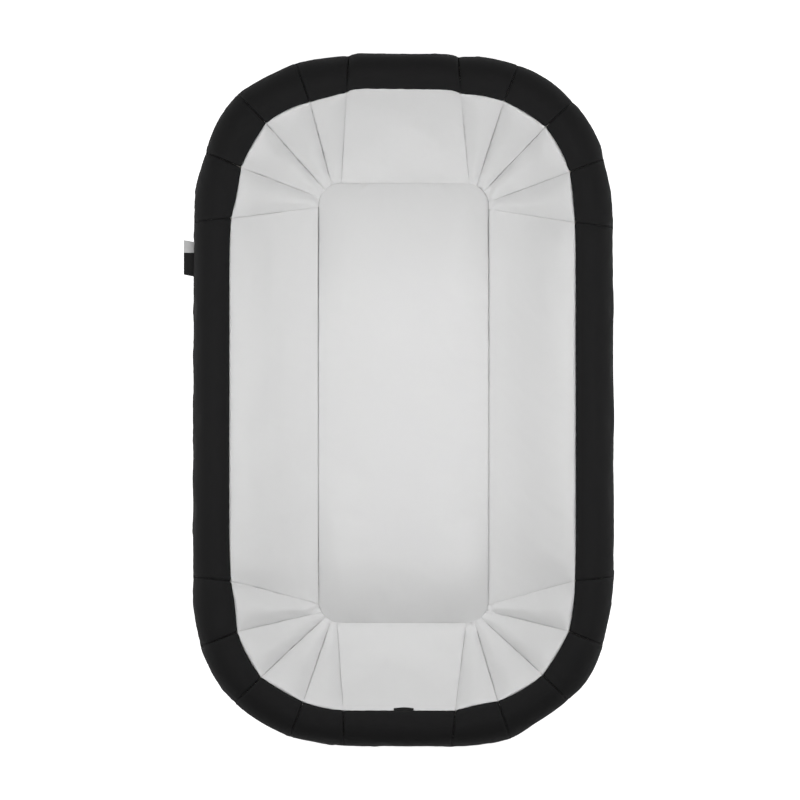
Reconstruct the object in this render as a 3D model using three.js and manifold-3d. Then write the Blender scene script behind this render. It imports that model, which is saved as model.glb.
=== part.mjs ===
// An infant lounger: a shallow quilted nest with a crowned floor pad, padded walls that slope up and
// outward, a fan of four wedges in each corner and a black padded rim.
// Millimetres. +Z is up, +Y points to the head end and +X to the right, seen from above.
// The origin is the middle of the flat underside.
import * as THREE from 'three'
import { mergeVertices } from 'three/addons/utils/BufferGeometryUtils.js'
import Module from 'manifold-3d'

const wasm = await Module()
wasm.setup()

// Plan sizes
const overallWidth = 559
const overallLength = 920
const edgeCornerRadius = 215.5
const rimWidth = 49
const padWidth = 227
const padLength = 587
const padCornerRadius = 24
const fanSeamDegrees = [-2, 22, 45, 67, 86.3]
const cornerFullness = 4
const fanScallop = 3

// Heights above the ground
const baseThickness = 5
const floorCoreThickness = 15
const floorPadEdgeThickness = 13
const floorPadCrown = 20
const rimSeamHeight = 105
const rimTopHeight = 118
const edgeSeamHeight = 62

// Pads and panels of the cover
const wallPadThickness = 18
const wallBowlShare = 0.6
const wallCrown = 2
const wedgeCrownShare = 0.13
const rimThickness = 8
const rimTopInset = 20
const rimPuffHeight = 3
const skirtThickness = 6
const skirtInset = 14
const floorShoulderSide = 42
const floorShoulderEnd = 96
const floorSideDraw = 1.5
const baseEdgeRound = 3
const panelGap = 0.3
const coreClearance = 2.5
const zipAllowance = 3.5

// Labels
const labelThickness = 1.2
const flagLength = 46
const flagReach = 12.4
const flagFromHead = 272
const careWidth = 26
const careReach = 6

// Cover zip on the right side, set back under the rim's edge
const zipChannelHeight = 16
const zipEndMargin = 11
const zipPitch = 5.6
const zipTeethWidth = 6
const zipTeethThickness = 2.4
const zipTapeThickness = 1.2
const zipTapeSetback = 1.4
const zipTapeMargin = 6
const zipStopLength = 5
const zipChannelSpare = 5
const sliderLength = 13
const sliderFrontWidth = 11
const sliderRearWidth = 8.6
const sliderWall = 1.4
const sliderClearance = 0.4
const bailWidth = 3
const bailSpan = 9.6
const bailThickness = 0.8
const pullLength = 25
const pullWidth = 6
const pullThickness = 1.2
const pullBar = 1.2
const pullWindowLength = 5.8
const pullWindowWidth = 4.2
const pullClearance = 0.4

// Sizes that follow from those above
const halfWidth = overallWidth / 2
const halfLength = overallLength / 2
const padHalfWidth = padWidth / 2
const padHalfLength = padLength / 2
const rimCornerRadius = edgeCornerRadius - rimWidth
const wallWidth = halfWidth - rimWidth - padHalfWidth
const coverFloor = baseThickness + panelGap
const floorPadBottom = coverFloor + floorCoreThickness + panelGap
const floorSeamHeight = floorPadBottom + floorPadEdgeThickness

const greyCloth = { color: 0xdadada, roughness: 0.85, metalness: 0 }
const blackCloth = { color: 0x222222, roughness: 0.8, metalness: 0 }
const foam = { color: 0xe8e4d6, roughness: 0.95, metalness: 0 }
const blackPlastic = { color: 0x1b1b1c, roughness: 0.5, metalness: 0 }
const blackMetal = { color: 0x2a2a2c, roughness: 0.35, metalness: 0.8 }

const lounger = new THREE.Group()

function addPiece(name, geometry, look) {
  const piece = new THREE.Mesh(geometry, new THREE.MeshStandardMaterial(look))
  piece.name = name
  lounger.add(piece)
  return piece
}

const { lerp, degToRad } = THREE.MathUtils

// The seams of the four fans, counter-clockwise from the right wall's head end
const quadrants = [
  { x: 1, y: 1, name: 'head_right' },
  { x: -1, y: 1, name: 'head_left' },
  { x: -1, y: -1, name: 'foot_left' },
  { x: 1, y: -1, name: 'foot_right' },
]
const seamsPerFan = fanSeamDegrees.length
const seams = quadrants.flatMap((quadrant) => {
  const degrees = quadrant.x * quadrant.y > 0 ? fanSeamDegrees : [...fanSeamDegrees].reverse()
  return degrees.map((degree) => ({ quadrant, angle: degToRad(degree) }))
})

// A place in plan, by its distance outward from the floor pad's outline. Towards the rim, the
// corners are a little fuller than a circle, and each panel of a fan bulges between its seams.
function cornerPoint(quadrant, angle, out, bulge = 0) {
  const share = Math.min(out / wallWidth, 1)
  const beyond = Math.max(out - wallWidth, 0)
  const centreX = lerp(padHalfWidth - padCornerRadius, halfWidth - edgeCornerRadius, share)
  const centreY = lerp(padHalfLength - padCornerRadius, halfLength - edgeCornerRadius, share)
  const fuller = share * (cornerFullness * Math.sin(2 * angle) ** 2 + fanScallop * bulge)
  const radius = lerp(padCornerRadius, rimCornerRadius, share) + beyond + fuller
  const x = quadrant.x * (centreX + radius * Math.cos(angle))
  const y = quadrant.y * (centreY + radius * Math.sin(angle))
  return new THREE.Vector2(x, y)
}

function ringPoint(panel, share, out) {
  const start = seams[panel % seams.length]
  const end = seams[(panel + 1) % seams.length]
  if (start.quadrant === end.quadrant) {
    const angle = lerp(start.angle, end.angle, share)
    return cornerPoint(start.quadrant, angle, out, Math.sin(share * Math.PI))
  }
  const from = cornerPoint(start.quadrant, start.angle, out)
  const to = cornerPoint(end.quadrant, end.angle, out)
  return from.lerp(to, share)
}

function panelWidth(panel, out) {
  return ringPoint(panel, 0, out).distanceTo(ringPoint(panel, 1, out))
}

// The straight panels follow the fans of the same place in the list of quadrants
const [headPanel, leftPanel, footPanel, rightPanel] = quadrants.map((quadrant, fan) => {
  return (fan + 1) * seamsPerFan - 1
})

// Stations along the ring from one seam to another, set back from both by half a gap
function walk(fromSeam, toSeam, fanSteps, straightSteps) {
  const stations = []
  for (let panel = fromSeam; panel < toSeam; panel += 1) {
    const straight = panel % seamsPerFan === headPanel
    const steps = straight ? straightSteps : fanSteps
    for (let step = panel === fromSeam ? 0 : 1; step <= steps; step += 1) {
      stations.push({ panel, share: step / steps, setback: 0 })
    }
  }
  stations[0].setback = panelGap / 2
  stations[stations.length - 1].setback = -panelGap / 2
  return stations
}

function stationPoint(station, out, height) {
  const place = ringPoint(station.panel, station.share, out)
  if (station.setback !== 0) {
    const along = ringPoint(station.panel, 1, out).sub(ringPoint(station.panel, 0, out))
    place.addScaledVector(along.normalize(), station.setback)
  }
  return new THREE.Vector3(place.x, place.y, height)
}

function closedGeometry(positions, index) {
  const geometry = new THREE.BufferGeometry()
  geometry.setAttribute('position', new THREE.Float32BufferAttribute(positions, 3))
  geometry.setIndex(index)
  geometry.computeVertexNormals()
  return geometry
}

// A closed body between two surfaces that share one grid of stations and rows
function slabGeometry(stations, rows, top, bottom) {
  const positions = []
  for (const face of [top, bottom]) {
    for (const station of stations) {
      for (const row of rows) positions.push(...face(station, row).toArray())
    }
  }
  const index = []
  const vertex = (face, i, j) => (face * stations.length + i) * rows.length + j
  const quad = (a, b, c, d) => index.push(a, b, c, a, c, d)
  const lastStation = stations.length - 1
  const lastRow = rows.length - 1
  for (let i = 0; i < lastStation; i += 1) {
    for (let j = 0; j < lastRow; j += 1) {
      quad(vertex(0, i, j), vertex(0, i, j + 1), vertex(0, i + 1, j + 1), vertex(0, i + 1, j))
      quad(vertex(1, i, j), vertex(1, i + 1, j), vertex(1, i + 1, j + 1), vertex(1, i, j + 1))
    }
    quad(vertex(0, i, 0), vertex(0, i + 1, 0), vertex(1, i + 1, 0), vertex(1, i, 0))
    quad(vertex(0, i + 1, lastRow), vertex(0, i, lastRow), vertex(1, i, lastRow), vertex(1, i + 1, lastRow))
  }
  for (let j = 0; j < lastRow; j += 1) {
    quad(vertex(0, 0, j + 1), vertex(0, 0, j), vertex(1, 0, j), vertex(1, 0, j + 1))
    quad(
      vertex(0, lastStation, j),
      vertex(0, lastStation, j + 1),
      vertex(1, lastStation, j + 1),
      vertex(1, lastStation, j),
    )
  }
  return closedGeometry(positions, index)
}

// A closed body through rounded oblong rings, listed from the bottom up
function ringStackGeometry(rings) {
  const arcSteps = 8
  const positions = []
  for (const ring of rings) {
    for (const [turn, quadrant] of quadrants.entries()) {
      for (let step = 0; step <= arcSteps; step += 1) {
        const angle = ((turn + step / arcSteps) * Math.PI) / 2
        const x = quadrant.x * (ring.halfWidth - ring.radius) + ring.radius * Math.cos(angle)
        const y = quadrant.y * (ring.halfLength - ring.radius) + ring.radius * Math.sin(angle)
        positions.push(x, y, ring.height)
      }
    }
  }
  const count = positions.length / 3 / rings.length
  const bottomMiddle = positions.length / 3
  positions.push(0, 0, rings[0].height, 0, 0, rings[rings.length - 1].height)
  const index = []
  for (let i = 0; i < count; i += 1) {
    const next = (i + 1) % count
    for (let level = 0; level < rings.length - 1; level += 1) {
      const low = level * count
      const high = low + count
      index.push(low + i, low + next, high + next, low + i, high + next, high + i)
    }
    const top = (rings.length - 1) * count
    index.push(bottomMiddle, next, i, bottomMiddle + 1, top + i, top + next)
  }
  return closedGeometry(positions, index)
}

// Rises fast from a seam, then stays nearly level to the next one
function pillow(share) {
  return 1 - (2 * share - 1) ** 4
}

function shares(steps) {
  return Array.from({ length: steps + 1 }, (unused, step) => step / steps)
}

// The walls start nearly level at the floor pad and steepen towards the rim
function wallHeight(out) {
  const share = out / wallWidth
  return lerp(floorSeamHeight, rimSeamHeight, share * lerp(1, share, wallBowlShare))
}

function wallPadOut(row) {
  return lerp(panelGap, wallWidth - panelGap / 2, row)
}

function wallPadTop(panel, share, row) {
  const out = wallPadOut(row)
  const straight = panel % seamsPerFan === headPanel
  const crown = straight ? wallCrown : wedgeCrownShare * panelWidth(panel, out)
  return wallHeight(out) + crown * pillow(share) * pillow(row)
}

// A light grey pad of the wall, from the floor pad's outline to the rim seam
function wallPad(panel, steps) {
  const top = (station, row) => {
    return stationPoint(station, wallPadOut(row), wallPadTop(panel, station.share, row))
  }
  const bottom = (station, row) => {
    return stationPoint(station, wallPadOut(row), wallHeight(wallPadOut(row)) - wallPadThickness)
  }
  return slabGeometry(walk(panel, panel + 1, steps, steps), shares(6), top, bottom)
}

// The rim's section, from the rim seam over its top to the edge seam: two quarter ellipses
const rimTurns = [180, 135, 90, 66, 44, 22, 0].map(degToRad)

function rimSection(turn) {
  const outer = turn <= Math.PI / 2
  const reach = outer ? rimWidth - rimTopInset : rimTopInset
  const rise = rimTopHeight - (outer ? edgeSeamHeight : rimSeamHeight)
  const foot = outer ? edgeSeamHeight : rimSeamHeight
  const place = new THREE.Vector2(rimTopInset + reach * Math.cos(turn), foot + rise * Math.sin(turn))
  const normal = new THREE.Vector2(rise * Math.cos(turn), reach * Math.sin(turn)).normalize()
  return { place, normal }
}

function rimPad(panel, steps) {
  const rimPoint = (station, turn, depth) => {
    const { place, normal } = rimSection(turn)
    if (turn === rimTurns[0]) normal.set(0, 1)
    place.addScaledVector(normal, -depth)
    return stationPoint(station, wallWidth + panelGap / 2 + place.x, place.y)
  }
  const top = (station, turn) => {
    const rise = Math.sin(turn) * pillow(station.share)
    return rimPoint(station, turn, -rimPuffHeight * rise)
  }
  const bottom = (station, turn) => rimPoint(station, turn, rimThickness)
  return slabGeometry(walk(panel, panel + 1, steps, steps), rimTurns, top, bottom)
}

// Ring pieces, named by the wall or the fan that they belong to
const straightNames = ['head', 'left', 'foot', 'right']
for (let panel = 0; panel < seams.length; panel += 1) {
  const fan = Math.floor(panel / seamsPerFan)
  const place = panel % seamsPerFan
  const straight = place === headPanel
  if (straight) {
    addPiece(`${straightNames[fan]}_wall_pad`, wallPad(panel, 10), greyCloth)
    addPiece(`${straightNames[fan]}_rim`, rimPad(panel, 10), blackCloth)
  } else {
    addPiece(`${quadrants[fan].name}_wedge_${place + 1}`, wallPad(panel, 4), greyCloth)
    addPiece(`${quadrants[fan].name}_rim_${place + 1}`, rimPad(panel, 4), blackCloth)
  }
}

// Floor pad: sides drawn in between its two seams, then a crown with longer shoulders at the ends
function floorPadGeometry() {
  const ring = (side, end, height) => ({
    halfWidth: padHalfWidth - side,
    halfLength: padHalfLength - end,
    radius: padCornerRadius,
    height,
  })
  const middle = (floorPadBottom + floorSeamHeight) / 2
  const rings = [
    ring(0, 0, floorPadBottom),
    ring(floorSideDraw, floorSideDraw, middle),
    ring(0, 0, floorSeamHeight),
  ]
  for (const turn of [15, 30, 50, 70, 90].map(degToRad)) {
    const inward = 1 - Math.cos(turn)
    const height = floorSeamHeight + floorPadCrown * Math.sin(turn)
    rings.push(ring(floorShoulderSide * inward, floorShoulderEnd * inward, height))
  }
  return ringStackGeometry(rings)
}
addPiece('floor_pad', floorPadGeometry(), greyCloth)

function plainRing(inset, height) {
  return {
    halfWidth: padHalfWidth - inset,
    halfLength: padHalfLength - inset,
    radius: padCornerRadius - inset,
    height,
  }
}
addPiece(
  'floor_core',
  ringStackGeometry([plainRing(panelGap, coverFloor), plainRing(panelGap, coverFloor + floorCoreThickness)]),
  foam,
)

function baseRing(inset, height) {
  return {
    halfWidth: halfWidth - skirtInset - inset,
    halfLength: halfLength - skirtInset - inset,
    radius: edgeCornerRadius - skirtInset - inset,
    height,
  }
}
addPiece(
  'base_panel',
  ringStackGeometry([
    baseRing(baseEdgeRound, 0),
    baseRing(baseEdgeRound / 4, baseEdgeRound / 2),
    baseRing(0, baseEdgeRound),
    baseRing(0, baseThickness),
  ]),
  blackCloth,
)

// Skirts: the cover's outer sides, from the rim's edge seam in and down to the base panel.
// The right one stops short under the rim to leave the zip's channel.
const edgeOut = wallWidth + rimWidth
const skirtTop = edgeSeamHeight - panelGap
const zipChannelBottom = edgeSeamHeight - zipChannelHeight
const channelHalfLength = panelWidth(rightPanel, edgeOut) / 2 - zipEndMargin
const zipTeethLength = 2 * (channelHalfLength - pullLength - zipChannelSpare)

function skirtOut(height) {
  return edgeOut - skirtInset * ((edgeSeamHeight - height) / edgeSeamHeight) ** 2
}

function skirt(stations) {
  const surface = (depth) => (station, row) => {
    const height = lerp(station.open ? zipChannelBottom : skirtTop, coverFloor, row)
    return stationPoint(station, skirtOut(height) - depth, height)
  }
  return slabGeometry(stations, shares(3), surface(0), surface(skirtThickness))
}

// The skirts join at the middle seam of each fan
const fromMiddle = (seamsPerFan - 1) / 2
function skirtStations(panel) {
  return walk(panel - fromMiddle, panel + 1 + fromMiddle, 4, 1)
}
addPiece('head_skirt', skirt(skirtStations(headPanel)), blackCloth)
addPiece('left_skirt', skirt(skirtStations(leftPanel)), blackCloth)
addPiece('foot_skirt', skirt(skirtStations(footPanel)), blackCloth)

function rightSkirtStations() {
  const run = panelWidth(rightPanel, edgeOut)
  const stations = skirtStations(rightPanel)
  const after = stations.findIndex((station) => station.panel === rightPanel)
  const marks = [-channelHalfLength - panelGap, -channelHalfLength]
  const ends = [...marks, ...marks.map((mark) => -mark).reverse()]
  const added = ends.map((along) => {
    const open = Math.abs(along) <= channelHalfLength
    return { panel: rightPanel, share: 0.5 + along / run, setback: 0, open }
  })
  stations.splice(after, 0, ...added)
  return stations
}
addPiece('right_skirt', skirt(rightSkirtStations()), blackCloth)

// Foam cores that fill the walls between the pads, the rim, the skirts and the base panel
function wallCore(fromSeam, toSeam) {
  const outerTop = edgeOut - rimThickness - zipAllowance
  const outerBottom = edgeOut - skirtInset - skirtThickness - zipAllowance
  const shoulder = rimSection(Math.PI / 4)
  shoulder.place.addScaledVector(shoulder.normal, -rimThickness - zipAllowance)
  const underWall = wallPadThickness + coreClearance
  const wallRows = shares(4).map((share) => {
    const out = lerp(coreClearance, wallWidth, share)
    return [out, wallHeight(out) - underWall]
  })
  const topRows = [
    ...wallRows,
    [wallWidth + rimTopInset, rimTopHeight - rimThickness - coreClearance],
    [wallWidth + shoulder.place.x, shoulder.place.y],
    [outerTop, edgeSeamHeight],
  ]
  const top = (station, row) => stationPoint(station, ...topRows[row])
  const bottom = (station, row) => {
    const out = topRows[row][0]
    const beyond = Math.max(out - wallWidth, 0) / (outerTop - wallWidth)
    return stationPoint(station, beyond > 0 ? lerp(wallWidth, outerBottom, beyond) : out, coverFloor)
  }
  return slabGeometry(walk(fromSeam, toSeam, 2, 1), [...topRows.keys()], top, bottom)
}
addPiece('head_wall_core', wallCore(0, leftPanel), foam)
addPiece('left_wall_core', wallCore(leftPanel, leftPanel + 1), foam)
addPiece('foot_wall_core', wallCore(leftPanel + 1, rightPanel), foam)
addPiece('right_wall_core', wallCore(rightPanel, rightPanel + 1), foam)

// Labels: one flies out of the left edge seam, one lies on the foot wall at the rim seam
const flagLabel = new THREE.BoxGeometry(flagReach, flagLength, labelThickness)
addPiece('flag_label', flagLabel, blackCloth).position.set(
  -halfWidth - 2 * panelGap - flagReach / 2,
  halfLength - flagFromHead,
  edgeSeamHeight - panelGap,
)

function careLabelGeometry() {
  const halfShare = careWidth / panelWidth(footPanel, wallWidth) / 2
  const stations = [-halfShare, halfShare].map((share) => {
    return { panel: footPanel, share: 0.5 + share, setback: 0 }
  })
  const surface = (lift) => (station, row) => {
    return stationPoint(station, wallPadOut(row), wallPadTop(footPanel, 0.5, row) + lift)
  }
  const rows = [1 - careReach / wallWidth, 1]
  return slabGeometry(stations, rows, surface(panelGap + labelThickness), surface(panelGap))
}
addPiece('care_label', careLabelGeometry(), blackCloth)

// The zip lies in the plane of its tape, facing +X. Drawings below are in that plane:
// their x runs along the zip (+Y), their y is up (+Z) and extrusion goes outward (+X).
const tapeFace = halfWidth - rimThickness - zipTapeSetback
const zipHeight = (edgeSeamHeight + zipChannelBottom) / 2
const teethBack = tapeFace + panelGap
const teethFront = teethBack + zipTeethThickness
const sliderBack = tapeFace + sliderClearance
const sliderFront = teethFront + sliderClearance + sliderWall
const outward = new THREE.Matrix4().makeBasis(
  new THREE.Vector3(0, 1, 0),
  new THREE.Vector3(0, 0, 1),
  new THREE.Vector3(1, 0, 0),
)

function extrudeOutward(shape, depth, curveSegments = 6) {
  const geometry = new THREE.ExtrudeGeometry(shape, { depth, bevelEnabled: false, curveSegments })
  return geometry.applyMatrix4(outward)
}

function rectangle(left, right, low, high) {
  const corners = [[left, low], [right, low], [right, high], [left, high]]
  return new THREE.Shape(corners.map(([x, y]) => new THREE.Vector2(x, y)))
}

const tapeHalf = zipTeethLength / 2 + zipStopLength + zipTapeMargin
const tapeRise = zipChannelHeight / 2 + zipTapeMargin
const tape = extrudeOutward(rectangle(-tapeHalf, tapeHalf, -tapeRise, tapeRise), zipTapeThickness)
addPiece('zip_tape', tape, blackCloth).position.set(tapeFace - zipTapeThickness, 0, zipHeight)

// Teeth of both rows, closed on each other: each row's teeth stand out half a pitch from the other's
function teethShape() {
  const count = Math.floor(zipTeethLength / zipPitch)
  const start = -zipTeethLength / 2
  const tip = zipTeethWidth / 2
  const root = tip / 2
  const edge = (offset, side) => {
    const points = []
    for (let tooth = 0; tooth < count; tooth += 1) {
      const from = start + (tooth + offset) * zipPitch
      const toothShares = [[0.1, root], [0.2, tip], [0.6, tip], [0.7, root]]
      for (const [share, reach] of toothShares) {
        points.push(new THREE.Vector2(from + share * zipPitch, side * reach))
      }
    }
    return points
  }
  return new THREE.Shape([...edge(0, -1), ...edge(0.25, 1).reverse()])
}
addPiece('zip_teeth', extrudeOutward(teethShape(), zipTeethThickness), blackPlastic).position.set(
  teethBack,
  0,
  zipHeight,
)

const stopHalf = zipTeethWidth / 2
const stopShape = rectangle(0, zipStopLength, -stopHalf, stopHalf)
for (const [name, along] of [
  ['zip_stop_head', zipTeethLength / 2 + panelGap],
  ['zip_stop_foot', -zipTeethLength / 2 - panelGap - zipStopLength],
]) {
  addPiece(name, extrudeOutward(stopShape, zipTeethThickness), blackMetal).position.set(
    teethBack,
    along,
    zipHeight,
  )
}

function solidOf(geometry) {
  const bare = geometry.clone()
  bare.deleteAttribute('normal')
  bare.deleteAttribute('uv')
  const merged = mergeVertices(bare, 1e-4)
  const mesh = new wasm.Mesh({
    numProp: 3,
    vertProperties: new Float32Array(merged.attributes.position.array),
    triVerts: new Uint32Array(merged.index.array),
  })
  return new wasm.Manifold(mesh)
}

function geometryOf(solid) {
  const mesh = solid.getMesh()
  return closedGeometry(Array.from(mesh.vertProperties), Array.from(mesh.triVerts))
}

// Slider: a shoe that saddles the closed teeth, with a bail over its middle for the pull tab's bar
const barAxis = sliderFront + pullThickness / 2 + pullClearance
const bailClear = Math.hypot(pullThickness, pullBar) / 2 + pullClearance

function sliderGeometry() {
  const front = sliderLength / 2
  const wide = sliderFrontWidth / 2
  const slim = sliderRearWidth / 2
  const shoe = new THREE.Shape()
  shoe.moveTo(-front, -slim)
  shoe.lineTo(0, -slim)
  shoe.quadraticCurveTo(front / 2, -wide, front, -wide / 2)
  shoe.lineTo(front, wide / 2)
  shoe.quadraticCurveTo(front / 2, wide, 0, slim)
  shoe.lineTo(-front, slim)
  const body = extrudeOutward(shoe, sliderFront - sliderBack).translate(sliderBack, 0, 0)
  const channelHalf = zipTeethWidth / 2 + sliderClearance
  const channelShape = rectangle(-sliderLength, sliderLength, -channelHalf, channelHalf)
  const channelDepth = 2 * (teethFront + sliderClearance - sliderBack)
  const channel = extrudeOutward(channelShape, channelDepth)
  channel.translate(sliderBack - channelDepth / 2, 0, 0)
  const half = bailSpan / 2
  const rise = barAxis + bailClear
  const sunk = sliderFront - sliderWall / 2
  const arch = rectangle(-half, half, sunk, rise + bailThickness)
  const inside = [
    [-half + bailThickness, sunk - bailThickness],
    [half - bailThickness, sunk - bailThickness],
    [half - bailThickness, rise],
    [-half + bailThickness, rise],
  ]
  const upright = new THREE.Matrix4().makeBasis(
    new THREE.Vector3(0, 1, 0),
    new THREE.Vector3(1, 0, 0),
    new THREE.Vector3(0, 0, -1),
  )
  const standing = (shape, depth) => {
    const geometry = new THREE.ExtrudeGeometry(shape, { depth, bevelEnabled: false })
    return geometry.applyMatrix4(upright).translate(0, 0, depth / 2)
  }
  const insideShape = new THREE.Shape(inside.map(([x, y]) => new THREE.Vector2(x, y)))
  const bail = solidOf(standing(arch, bailWidth)).subtract(solidOf(standing(insideShape, 2 * bailWidth)))
  return geometryOf(solidOf(body).subtract(solidOf(channel)).add(bail))
}
const sliderRest = zipTeethLength / 2 - sliderLength / 2 - panelGap
addPiece('zip_slider', sliderGeometry(), blackMetal).position.set(0, sliderRest, zipHeight)

// Pull tab: lies flat along the teeth towards the foot, and its bar passes under the bail
function pullGeometry() {
  const half = pullWidth / 2
  const tab = new THREE.Shape()
  tab.moveTo(pullBar / 2, half)
  tab.lineTo(half - pullLength, half)
  tab.absarc(half - pullLength, 0, half, Math.PI / 2, (3 * Math.PI) / 2, false)
  tab.lineTo(pullBar / 2, -half)
  const windowHalf = pullWindowWidth / 2
  const windowEnd = -pullBar / 2 - pullWindowLength
  tab.holes.push(rectangle(windowEnd, -pullBar / 2, -windowHalf, windowHalf))
  return extrudeOutward(tab, pullThickness).translate(-pullThickness / 2, 0, 0)
}
addPiece('zip_pull', pullGeometry(), blackMetal).position.set(barAxis, sliderRest, zipHeight)

export default lounger
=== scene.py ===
import math

import bmesh
import bpy
import numpy as np
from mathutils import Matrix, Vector


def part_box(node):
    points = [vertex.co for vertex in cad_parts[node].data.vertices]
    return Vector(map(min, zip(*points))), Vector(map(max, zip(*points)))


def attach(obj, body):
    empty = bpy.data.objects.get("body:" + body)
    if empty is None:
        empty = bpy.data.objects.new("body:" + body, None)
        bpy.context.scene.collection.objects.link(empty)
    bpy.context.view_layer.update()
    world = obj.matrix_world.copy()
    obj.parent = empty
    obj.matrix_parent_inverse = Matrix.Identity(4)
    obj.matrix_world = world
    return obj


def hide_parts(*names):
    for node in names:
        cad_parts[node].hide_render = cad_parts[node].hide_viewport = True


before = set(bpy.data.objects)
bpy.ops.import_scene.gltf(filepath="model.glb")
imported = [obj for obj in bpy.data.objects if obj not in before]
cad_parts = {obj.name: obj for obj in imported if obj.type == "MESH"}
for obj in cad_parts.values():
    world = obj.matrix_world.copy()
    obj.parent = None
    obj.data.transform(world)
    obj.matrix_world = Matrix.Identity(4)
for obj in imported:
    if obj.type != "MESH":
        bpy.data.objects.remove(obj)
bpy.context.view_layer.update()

MM = 0.001
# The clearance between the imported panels, and the closer one between the cloths made here
GAP = 0.3 * MM
CLOSE = 0.06 * MM
TINY = 1e-12


def low(node):
    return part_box(node)[0]


def high(node):
    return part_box(node)[1]


# Plan sizes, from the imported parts. The corners' radii and the floor pad's shift towards the foot
# are measured on the photograph.
PAD_HALF_WIDTH = high("floor_pad").x
PAD_HALF_LENGTH = high("floor_pad").y
PAD_RADIUS = 30 * MM
PAD_SHIFT = -4.2 * MM
HALF_WIDTH = high("right_rim").x - GAP / 2
WALL_WIDTH = high("right_wall_pad").x - PAD_HALF_WIDTH + GAP / 2
RIM_WIDTH = HALF_WIDTH - WALL_WIDTH - PAD_HALF_WIDTH
EDGE_RADIUS = 215.5 * MM
RIM_RADIUS = EDGE_RADIUS - RIM_WIDTH
CORNER_X = HALF_WIDTH - EDGE_RADIUS
CORNER_Y = CORNER_X + PAD_HALF_LENGTH - PAD_HALF_WIDTH

# Heights above the ground, and the rises between them
FLOOR_CROWN = 20 * MM
FLOOR_TOP = high("floor_pad").z
FLOOR_SEAM = FLOOR_TOP - FLOOR_CROWN
FLOOR_UNDER = low("floor_pad").z
RIM_PUFF = 3 * MM
RIM_RISE = 13 * MM
RIM_TOP = high("right_rim").z - RIM_PUFF
RIM_SEAM = RIM_TOP - RIM_RISE
EDGE_SEAM = high("left_skirt").z + GAP
BASE_TOP = high("base_panel").z
COVER_FLOOR = low("left_skirt").z

# How thick the walls, the rim and the skirts are, how far the rim's top lies from its inner seam,
# and how far the skirts lean in on their way down
WALL_UNDER = 10 * MM
RIM_THICKNESS = 8 * MM
RIM_TOP_INSET = 20 * MM
SKIRT_THICKNESS = 6 * MM
SKIRT_INSET = 14 * MM
# How the floor pad falls away to its seams: the length of the fall and of its steepest, even part
SHOULDERS = {"side": (46 * MM, 0), "head": (140 * MM, 34 * MM), "foot": (92 * MM, 26 * MM)}
# How far the floor pad's seams ride up along its sides and drop at its ends
SIDE_LIFT = 10 * MM
END_DROP = 8 * MM

# The fans, counter-clockwise from the head's right, as sewn. The degrees of each fan's seams run
# from its side seam to its end seam, at the pad's outline and at the rim. How far each seam
# stands out from a round corner, and how far each wedge bulges between two seams, is in mm.
CORNERS = [
    {"name": "head_right", "x": 1, "y": 1, "pad": (-9, 10, 39, 62, 82),
     "rim": (-3, 20.5, 43.5, 65.5, 86), "rim_out": (-4.5, -1, 3.5, -1, -5.5),
     "rim_bulge": (-2, 0, -0.5, 0), "edge_out": (-1, -0.5, 5.5, 3.5, -3.5),
     "edge_bulge": (-1.5, 2.5, 2, 0.5)},
    {"name": "head_left", "x": -1, "y": 1, "pad": (-4, 22, 45, 66, 90),
     "rim": (-1, 23, 46, 68, 86), "rim_out": (-3, -3, 3, -5, -3.5),
     "rim_bulge": (-4, -1, 1, -1.5), "edge_out": (-1.5, 0.5, 10, 3, -2),
     "edge_bulge": (0, 2, -2, -1.5)},
    {"name": "foot_left", "x": -1, "y": -1, "pad": (9.5, 31, 47, 64, 79),
     "rim": (-1.5, 22, 44.5, 66, 84.5), "rim_out": (-2.5, 1.5, 8, 3, 0.5),
     "rim_bulge": (-4, 0, -1, 0.5), "edge_out": (0, 5.5, 10, 6, 0.5),
     "edge_bulge": (-0.5, 2, -0.5, -1.5)},
    {"name": "foot_right", "x": 1, "y": -1, "pad": (11, 28, 50, 69, 90),
     "rim": (-1.5, 22, 45, 68.5, 88.5), "rim_out": (-4.5, -0.5, 2.5, -1, 0),
     "rim_bulge": (-1, -1, 0, -3), "edge_out": (0, 1, 3, 5, 1),
     "edge_bulge": (-3, 3, -3.5, -1)},
]
# How many degrees each of a fan's seams turns on from the rim seam to the edge seam
EDGE_TURN = (-1, 0, 0, 0.7, 1.5)
SEAMS_PER_FAN = 5
# The lines that a panel is spread between
LEVELS = ("pad", "rim", "edge")
STRAIGHT_NAMES = ["head", "left", "foot", "right"]
SIDE_NAMES = ("left", "right")
# How far each straight panel swells outward between its end seams, at the rim seam and the edge
SWELL = {
    "head": {"rim": 5.5 * MM, "edge": 4 * MM},
    "left": {"rim": 3 * MM, "edge": 1.2 * MM},
    "foot": {"rim": 0.5 * MM, "edge": 0.5 * MM},
    "right": {"rim": 2 * MM, "edge": 0.5 * MM},
}
# The swell is even along most of a panel and falls off steeply at its ends
SWELL_POWER = 9

# Every seam of the ring, counter-clockwise, as its corner and its place in that corner's fan
SEAMS = []
for corner in CORNERS:
    order = list(range(SEAMS_PER_FAN))
    if corner["x"] * corner["y"] < 0:
        order.reverse()
    SEAMS += [(corner, place) for place in order]


def lerp(a, b, t):
    return a + (b - a) * t


def pad_outline(corner, degrees):
    """Points of the floor pad's outline, and of its straight sides beyond a corner's arc."""
    angle = np.radians(degrees)
    x = PAD_HALF_WIDTH - PAD_RADIUS + PAD_RADIUS * np.cos(np.maximum(angle, 0))
    y = PAD_HALF_LENGTH - PAD_RADIUS + PAD_RADIUS * np.sin(np.minimum(angle, math.pi / 2))
    return np.stack([corner["x"] * x, corner["y"] * y + PAD_SHIFT], -1)


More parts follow.
